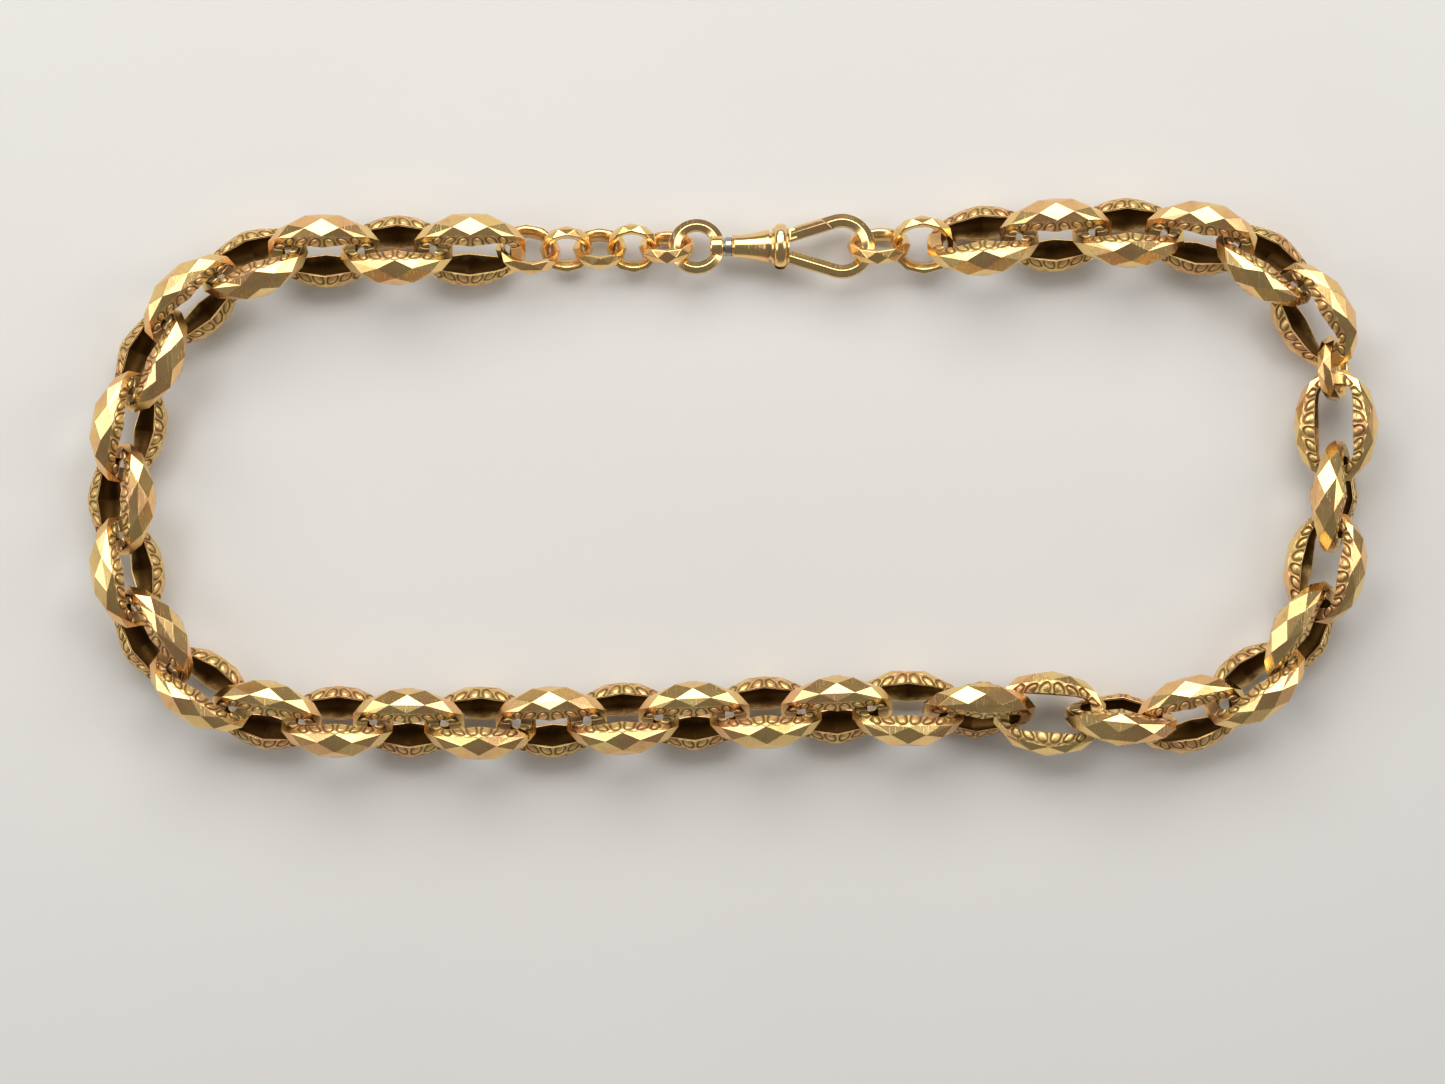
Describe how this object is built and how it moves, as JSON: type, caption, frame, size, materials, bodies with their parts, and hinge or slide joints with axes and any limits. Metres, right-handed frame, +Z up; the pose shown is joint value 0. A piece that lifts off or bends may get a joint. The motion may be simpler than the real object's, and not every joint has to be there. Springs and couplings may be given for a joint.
{
  "type": "pocket watch chain",
  "caption": "Pocket watch chain laid down as a closed loop: hollow faceted oval links hooked through one another, small faceted rings, and a swivel clip with a sprung gate.",
  "frame": {"origin": "on the table under the middle of the loop's bounding box", "axes": "+X along the loop's length, from the plain left end to the end with the repair ring; +Z up from the table"},
  "size_m": [0.1742, 0.076, 0.0112],
  "materials": {
    "gold": "polished and worn",
    "steel": "satin"
  },
  "bodies": {
    "link_01": {"link_01": "gold"},
    "link_02": {"link_02": "gold"},
    "link_03": {"link_03": "gold"},
    "link_04": {"link_04": "gold"},
    "link_05": {"link_05": "gold"},
    "link_06": {"link_06": "gold"},
    "link_07": {"link_07": "gold"},
    "link_08": {"link_08": "gold"},
    "link_09": {"link_09": "gold"},
    "link_10": {"link_10": "gold"},
    "link_11": {"link_11": "gold"},
    "link_12": {"link_12": "gold"},
    "link_13": {"link_13": "gold"},
    "link_14": {"link_14": "gold"},
    "link_15": {"link_15": "gold"},
    "link_16": {"link_16": "gold"},
    "link_17": {"link_17": "gold"},
    "link_18": {"link_18": "gold"},
    "link_19": {"link_19": "gold"},
    "link_20": {"link_20": "gold"},
    "link_21": {"link_21": "gold"},
    "link_22": {"link_22": "gold"},
    "link_23": {"link_23": "gold"},
    "link_24": {"link_24": "gold"},
    "link_25": {"link_25": "gold"},
    "link_26": {"link_26": "gold"},
    "link_27": {"link_27": "gold"},
    "link_28": {"link_28": "gold"},
    "link_29": {"link_29": "gold"},
    "link_30": {"link_30": "gold"},
    "link_31": {"link_31": "gold"},
    "link_32": {"link_32": "gold"},
    "link_33": {"link_33": "gold"},
    "link_34": {"link_34": "gold"},
    "link_35": {"link_35": "gold"},
    "link_36": {"link_36": "gold"},
    "repair_ring": {"repair_ring": "gold"},
    "ring_a": {"ring_a": "gold"},
    "ring_b": {"ring_b": "gold"},
    "ring_c": {"ring_c": "gold"},
    "ring_d": {"ring_d": "gold"},
    "ring_e": {"ring_e": "gold"},
    "ring_g": {"ring_g": "gold"},
    "ring_h": {"ring_h": "gold"},
    "swivel_ring": {"swivel_ring": "gold"},
    "clip": {"swivel_stud": "steel", "barrel": "gold", "bow": "gold", "gate_pin": "steel", "gate_spring": "steel"},
    "gate": {"gate": "gold"}
  },
  "joints": [
    {"name": "link_19_swing", "type": "hinge", "parent": "link_18", "child": "link_19", "pos_m": [-0.00022, -0.03181, 0.006], "axis": [0, 0, 1], "range_deg": [-6.01, 6.01]},
    {"name": "link_20_swing", "type": "hinge", "parent": "link_19", "child": "link_20", "pos_m": [-0.00982, -0.03223, 0.006], "axis": [0, 0, 1], "range_deg": [-12, 12]},
    {"name": "link_21_swing", "type": "hinge", "parent": "link_20", "child": "link_21", "pos_m": [-0.01942, -0.03265, 0.00593], "axis": [0, 0, 1], "range_deg": [-6.01, 6.01]},
    {"name": "link_22_swing", "type": "hinge", "parent": "link_21", "child": "link_22", "pos_m": [-0.02903, -0.03306, 0.00591], "axis": [0, 0, 1], "range_deg": [-6.01, 6.01]},
    {"name": "link_23_swing", "type": "hinge", "parent": "link_22", "child": "link_23", "pos_m": [-0.03864, -0.03297, 0.00597], "axis": [0, 0, 1], "range_deg": [-12, 12]},
    {"name": "link_24_swing", "type": "hinge", "parent": "link_23", "child": "link_24", "pos_m": [-0.04826, -0.03288, 0.00603], "axis": [0, 0, 1], "range_deg": [-6.01, 6.01]},
    {"name": "link_25_swing", "type": "hinge", "parent": "link_24", "child": "link_25", "pos_m": [-0.05787, -0.0328, 0.00603], "axis": [0, 0, 1], "range_deg": [-2.84, 3.54]},
    {"name": "link_26_swing", "type": "hinge", "parent": "link_25", "child": "link_26", "pos_m": [-0.06734, -0.03102, 0.006], "axis": [0, 0, 1], "range_deg": [-10, 8]},
    {"name": "link_27_swing", "type": "hinge", "parent": "link_26", "child": "link_27", "pos_m": [-0.07536, -0.0256, 0.006], "axis": [0, 0, 1], "range_deg": [-8, 9.99]},
    {"name": "link_28_swing", "type": "hinge", "parent": "link_27", "child": "link_28", "pos_m": [-0.08061, -0.01741, 0.00604], "axis": [0, 0, 1], "range_deg": [-3.52, 2.82]},
    {"name": "link_29_swing", "type": "hinge", "parent": "link_28", "child": "link_29", "pos_m": [-0.08221, -0.00777, 0.006], "axis": [0, 0, 1], "range_deg": [-4.8, 5.76]},
    {"name": "link_30_swing", "type": "hinge", "parent": "link_29", "child": "link_30", "pos_m": [-0.08212, 0.00202, 0.00596], "axis": [0, 0, 1], "range_deg": [-8.14, 6.79]},
    {"name": "link_31_swing", "type": "hinge", "parent": "link_30", "child": "link_31", "pos_m": [-0.08035, 0.01167, 0.006], "axis": [0, 0, 1], "range_deg": [-4.9, 4.09]},
    {"name": "link_32_swing", "type": "hinge", "parent": "link_31", "child": "link_32", "pos_m": [-0.07617, 0.02055, 0.00601], "axis": [0, 0, 1], "range_deg": [-10, 12]},
    {"name": "link_33_swing", "type": "hinge", "parent": "link_32", "child": "link_33", "pos_m": [-0.06893, 0.02719, 0.00601], "axis": [0, 0, 1], "range_deg": [-4.73, 3.95]},
    {"name": "link_34_swing", "type": "hinge", "parent": "link_33", "child": "link_34", "pos_m": [-0.05973, 0.0306, 0.006], "axis": [0, 0, 1], "range_deg": [-5.01, 5.01]},
    {"name": "link_35_swing", "type": "hinge", "parent": "link_34", "child": "link_35", "pos_m": [-0.04995, 0.03069, 0.00596], "axis": [0, 0, 1], "range_deg": [-10, 10]},
    {"name": "link_36_swing", "type": "hinge", "parent": "link_35", "child": "link_36", "pos_m": [-0.04016, 0.03078, 0.00596], "axis": [0, 0, 1], "range_deg": [-5.01, 5.01]},
    {"name": "ring_a_swing", "type": "hinge", "parent": "link_36", "child": "ring_a", "pos_m": [-0.03041, 0.03086, 0.00522], "axis": [0, 0, 1], "range_deg": [-6.05, 6.05]},
    {"name": "ring_b_swing", "type": "hinge", "parent": "ring_a", "child": "ring_b", "pos_m": [-0.02451, 0.03095, 0.00421], "axis": [0, 0, 1], "range_deg": [-14, 14]},
    {"name": "ring_c_swing", "type": "hinge", "parent": "ring_b", "child": "ring_c", "pos_m": [-0.02003, 0.03104, 0.00401], "axis": [0, 0, 1], "range_deg": [-7.97, 7.97]},
    {"name": "ring_d_swing", "type": "hinge", "parent": "ring_c", "child": "ring_d", "pos_m": [-0.01555, 0.03113, 0.00381], "axis": [0, 0, 1], "range_deg": [-6.21, 6.21]},
    {"name": "ring_e_swing", "type": "hinge", "parent": "ring_d", "child": "ring_e", "pos_m": [-0.01107, 0.03122, 0.0041], "axis": [0, 0, 1], "range_deg": [-12, 12]},
    {"name": "swivel_ring_swing", "type": "hinge", "parent": "ring_e", "child": "swivel_ring", "pos_m": [-0.00629, 0.03131, 0.00411], "axis": [0, 0, 1], "range_deg": [-5.81, 5.81]},
    {"name": "link_17_swing", "type": "hinge", "parent": "link_18", "child": "link_17", "pos_m": [0.00938, -0.03139, 0.00602], "axis": [0, 0, 1], "range_deg": [-6.01, 6.01]},
    {"name": "link_16_swing", "type": "hinge", "parent": "link_17", "child": "link_16", "pos_m": [0.01898, -0.03097, 0.00587], "axis": [0, 0, 1], "range_deg": [-12, 12]},
    {"name": "link_15_swing", "type": "hinge", "parent": "link_16", "child": "link_15", "pos_m": [0.0286, -0.03106, 0.00596], "axis": [0, 0, 1], "range_deg": [-6.01, 6.01]},
    {"name": "link_14_swing", "type": "hinge", "parent": "link_15", "child": "link_14", "pos_m": [0.03816, -0.03143, 0.005], "axis": [0, 0, 1], "range_deg": [-5, 6]},
    {"name": "link_13_swing", "type": "hinge", "parent": "link_14", "child": "link_13", "pos_m": [0.04776, -0.03209, 0.00513], "axis": [0, 0, 1], "range_deg": [-12, 10]},
    {"name": "link_12_swing", "type": "hinge", "parent": "link_13", "child": "link_12", "pos_m": [0.05729, -0.03302, 0.00608], "axis": [0, 0, 1], "range_deg": [-5.02, 6.02]},
    {"name": "link_11_swing", "type": "hinge", "parent": "link_12", "child": "link_11", "pos_m": [0.06657, -0.0306, 0.00584], "axis": [0, 0, 1], "range_deg": [-4.21, 4.21]},
    {"name": "link_10_swing", "type": "hinge", "parent": "link_11", "child": "link_10", "pos_m": [0.07427, -0.0249, 0.00612], "axis": [0, 0, 1], "range_deg": [-12, 12]},
    {"name": "link_09_swing", "type": "hinge", "parent": "link_10", "child": "link_09", "pos_m": [0.07927, -0.01674, 0.00571], "axis": [0, 0, 1], "range_deg": [-12, 12]},
    {"name": "link_08_swing", "type": "hinge", "parent": "link_09", "child": "link_08", "pos_m": [0.08087, -0.00728, 0.00583], "axis": [0, 0, 1], "range_deg": [-4.21, 4.21]},
    {"name": "link_07_swing", "type": "hinge", "parent": "link_08", "child": "link_07", "pos_m": [0.08163, 0.00229, 0.0055], "axis": [0, 0, 1], "range_deg": [-4.39, 1.76]},
    {"name": "repair_ring_swing", "type": "hinge", "parent": "link_07", "child": "repair_ring", "pos_m": [0.08154, 0.01189, 0.00492], "axis": [0, 0, 1], "range_deg": [-2.61, 6.5]},
    {"name": "link_06_swing", "type": "hinge", "parent": "repair_ring", "child": "link_06", "pos_m": [0.08094, 0.01774, 0.00553], "axis": [0, 0, 1], "range_deg": [-1.62, 4.03]},
    {"name": "link_05_swing", "type": "hinge", "parent": "link_06", "child": "link_05", "pos_m": [0.07601, 0.02605, 0.00591], "axis": [0, 0, 1], "range_deg": [-10, 4]},
    {"name": "link_04_swing", "type": "hinge", "parent": "link_05", "child": "link_04", "pos_m": [0.06798, 0.03152, 0.00599], "axis": [0, 0, 1], "range_deg": [-1.56, 3.88]},
    {"name": "link_03_swing", "type": "hinge", "parent": "link_04", "child": "link_03", "pos_m": [0.05834, 0.03312, 0.00596], "axis": [0, 0, 1], "range_deg": [-5.01, 5.01]},
    {"name": "link_02_swing", "type": "hinge", "parent": "link_03", "child": "link_02", "pos_m": [0.04856, 0.03303, 0.00596], "axis": [0, 0, 1], "range_deg": [-10, 10]},
    {"name": "link_01_swing", "type": "hinge", "parent": "link_02", "child": "link_01", "pos_m": [0.03878, 0.03251, 0.00596], "axis": [0, 0, 1], "range_deg": [-5.01, 5.01]},
    {"name": "ring_h_swing", "type": "hinge", "parent": "link_01", "child": "ring_h", "pos_m": [0.02907, 0.03158, 0.00514], "axis": [0, 0, 1], "range_deg": [-4.8, 3.84]},
    {"name": "ring_g_swing", "type": "hinge", "parent": "ring_h", "child": "ring_g", "pos_m": [0.0228, 0.03149, 0.00469], "axis": [0, 0, 1], "range_deg": [-8, 10]},
    {"name": "clip_swivel", "type": "hinge", "parent": "swivel_ring", "child": "clip", "pos_m": [0.00538, 0.03136, 0.00411], "axis": [1, 0.0038, 0], "range_deg": [0, 80]},
    {"name": "gate_hinge", "type": "hinge", "parent": "clip", "child": "gate", "pos_m": [0.00665, 0.03247, 0.00392], "axis": [0.0007, -0.1736, -0.9848], "range_deg": [0, 20], "stiffness_Nm_per_rad": 0.002, "springref_deg": -11.46, "deforming": ["gate_spring"]}
  ],
  "couplings": [
    {"joint": "link_19_swing", "follows": "link_20_swing", "ratio": -0.49999},
    {"joint": "link_21_swing", "follows": "link_20_swing", "ratio": -0.50001},
    {"joint": "link_22_swing", "follows": "link_23_swing", "ratio": -0.50001},
    {"joint": "link_24_swing", "follows": "link_23_swing", "ratio": -0.49999},
    {"joint": "link_25_swing", "follows": "link_26_swing", "ratio": -0.35319},
    {"joint": "link_27_swing", "follows": "link_26_swing", "ratio": -0.99819},
    {"joint": "link_28_swing", "follows": "link_26_swing", "ratio": 0.35138},
    {"joint": "link_29_swing", "follows": "link_32_swing", "ratio": 0.47877},
    {"joint": "link_30_swing", "follows": "link_32_swing", "ratio": -0.67752},
    {"joint": "link_31_swing", "follows": "link_32_swing", "ratio": -0.40765},
    {"joint": "link_33_swing", "follows": "link_32_swing", "ratio": -0.3936},
    {"joint": "link_34_swing", "follows": "link_35_swing", "ratio": -0.5},
    {"joint": "link_36_swing", "follows": "link_35_swing", "ratio": -0.5},
    {"joint": "ring_a_swing", "follows": "ring_b_swing", "ratio": -0.43169},
    {"joint": "ring_c_swing", "follows": "ring_b_swing", "ratio": -0.56831},
    {"joint": "ring_d_swing", "follows": "ring_e_swing", "ratio": -0.51671},
    {"joint": "swivel_ring_swing", "follows": "ring_e_swing", "ratio": -0.48329},
    {"joint": "link_17_swing", "follows": "link_16_swing", "ratio": -0.50014},
    {"joint": "link_15_swing", "follows": "link_16_swing", "ratio": -0.49986},
    {"joint": "link_14_swing", "follows": "link_13_swing", "ratio": -0.49889},
    {"joint": "link_12_swing", "follows": "link_13_swing", "ratio": -0.50111},
    {"joint": "link_11_swing", "follows": "link_10_swing", "ratio": -0.35003},
    {"joint": "link_09_swing", "follows": "link_10_swing", "ratio": -0.99955},
    {"joint": "link_08_swing", "follows": "link_10_swing", "ratio": 0.34958},
    {"joint": "link_07_swing", "follows": "link_05_swing", "ratio": 0.43795},
    {"joint": "repair_ring_swing", "follows": "link_05_swing", "ratio": -0.64881},
    {"joint": "link_06_swing", "follows": "link_05_swing", "ratio": -0.40172},
    {"joint": "link_04_swing", "follows": "link_05_swing", "ratio": -0.38742},
    {"joint": "link_03_swing", "follows": "link_02_swing", "ratio": -0.5001},
    {"joint": "link_01_swing", "follows": "link_02_swing", "ratio": -0.4999},
    {"joint": "ring_h_swing", "follows": "ring_g_swing", "ratio": -0.47868}
  ]
}
